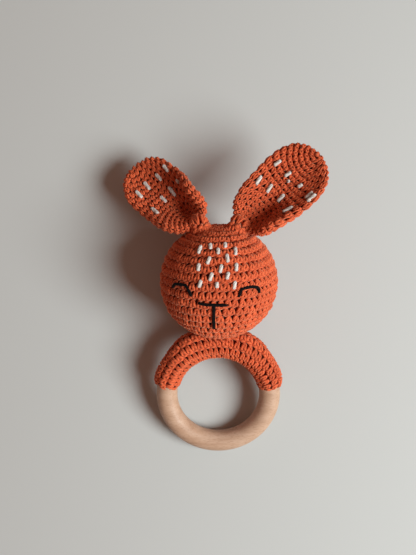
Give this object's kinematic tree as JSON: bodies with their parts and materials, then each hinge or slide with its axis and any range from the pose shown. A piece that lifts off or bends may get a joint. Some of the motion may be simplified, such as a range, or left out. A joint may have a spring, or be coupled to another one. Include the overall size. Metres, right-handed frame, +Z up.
{
  "type": "baby rattle",
  "caption": "Crocheted bunny-head baby rattle with floppy ears on a crocheted sleeve that wraps a turning wooden teething ring; a bead capsule sits inside the head.",
  "frame": {"origin": "centre of the bounding box at its base, on the table the toy lies on", "axes": "+Y from the ring towards the crown of the head, +Z up from the table and out of the face, +X to the right ear side of the picture"},
  "size_m": [0.104, 0.159, 0.0589],
  "materials": {
    "beech": "bare sanded beech, satin",
    "orange_cotton": "matt mercerised cotton yarn, single crochet",
    "black_cotton": "matt cotton embroidery thread",
    "white_cotton": "matt cotton yarn",
    "fibre_filling": "loose polyester fibre",
    "capsule_plastic": "moulded, unpainted",
    "bead_steel": "tumbled"
  },
  "bodies": {
    "sleeve": {"ring_sleeve": "orange_cotton", "sleeve_seam": "orange_cotton"},
    "ring": {"wooden_ring": "beech"},
    "neck": {"neck_seam": "orange_cotton"},
    "head": {"head_cover": "orange_cotton", "crown_stuffing": "fibre_filling", "neck_stuffing": "fibre_filling", "capsule_front": "capsule_plastic", "capsule_back": "capsule_plastic", "left_ear_seam": "orange_cotton", "right_ear_seam": "orange_cotton", "forehead_stitches": "white_cotton", "left_eye_thread": "black_cotton", "right_eye_thread": "black_cotton", "nose_thread": "black_cotton", "mouth_thread": "black_cotton"},
    "left_ear": {"left_ear": "orange_cotton", "left_ear_stitches": "white_cotton"},
    "right_ear": {"right_ear": "orange_cotton", "right_ear_stitches": "white_cotton"},
    "bead_1": {"bead_1": "bead_steel"},
    "bead_2": {"bead_2": "bead_steel"},
    "bead_3": {"bead_3": "bead_steel"},
    "bead_4": {"bead_4": "bead_steel"},
    "bead_5": {"bead_5": "bead_steel"}
  },
  "joints": [
    {"name": "ring_turn", "type": "hinge", "parent": "sleeve", "child": "ring", "pos_m": [-0.00153, -0.04795, 0.01251], "axis": [0, -0.2595, 0.9657], "continuous": true},
    {"name": "head_nod", "type": "hinge", "parent": "sleeve", "child": "neck", "pos_m": [-0.00153, -0.02188, 0.01951], "axis": [1, 0, 0], "range_deg": [-15, 15], "stiffness_Nm_per_rad": 0.15},
    {"name": "head_tilt", "type": "hinge", "parent": "neck", "child": "head", "pos_m": [-0.00153, -0.01338, 0.0218], "axis": [0, -0.2595, 0.9657], "range_deg": [-8, 8], "stiffness_Nm_per_rad": 0.15},
    {"name": "left_ear_flop", "type": "hinge", "parent": "head", "child": "left_ear", "pos_m": [-0.01155, 0.04052, 0.03801], "axis": [0.677, 0.7253, -0.1251], "range_deg": [-12, 75], "stiffness_Nm_per_rad": 0.012},
    {"name": "right_ear_flop", "type": "hinge", "parent": "head", "child": "right_ear", "pos_m": [0.00849, 0.04052, 0.03801], "axis": [0.6078, -0.7753, 0.172], "range_deg": [-40, 70], "stiffness_Nm_per_rad": 0.012},
    {"name": "bead_1_roll", "type": "hinge", "parent": "head", "child": "bead_1", "pos_m": [-0.00153, 0.01144, 0.02847], "axis": [1, 0, 0], "continuous": true},
    {"name": "bead_2_roll", "type": "hinge", "parent": "head", "child": "bead_2", "pos_m": [-0.00153, 0.01144, 0.02847], "axis": [1, 0, 0], "continuous": true},
    {"name": "bead_3_roll", "type": "hinge", "parent": "head", "child": "bead_3", "pos_m": [-0.00153, 0.01144, 0.02847], "axis": [1, 0, 0], "continuous": true},
    {"name": "bead_4_roll", "type": "hinge", "parent": "head", "child": "bead_4", "pos_m": [-0.00153, 0.01144, 0.02847], "axis": [1, 0, 0], "continuous": true},
    {"name": "bead_5_roll", "type": "hinge", "parent": "head", "child": "bead_5", "pos_m": [-0.00153, 0.01144, 0.02847], "axis": [1, 0, 0], "continuous": true}
  ]
}
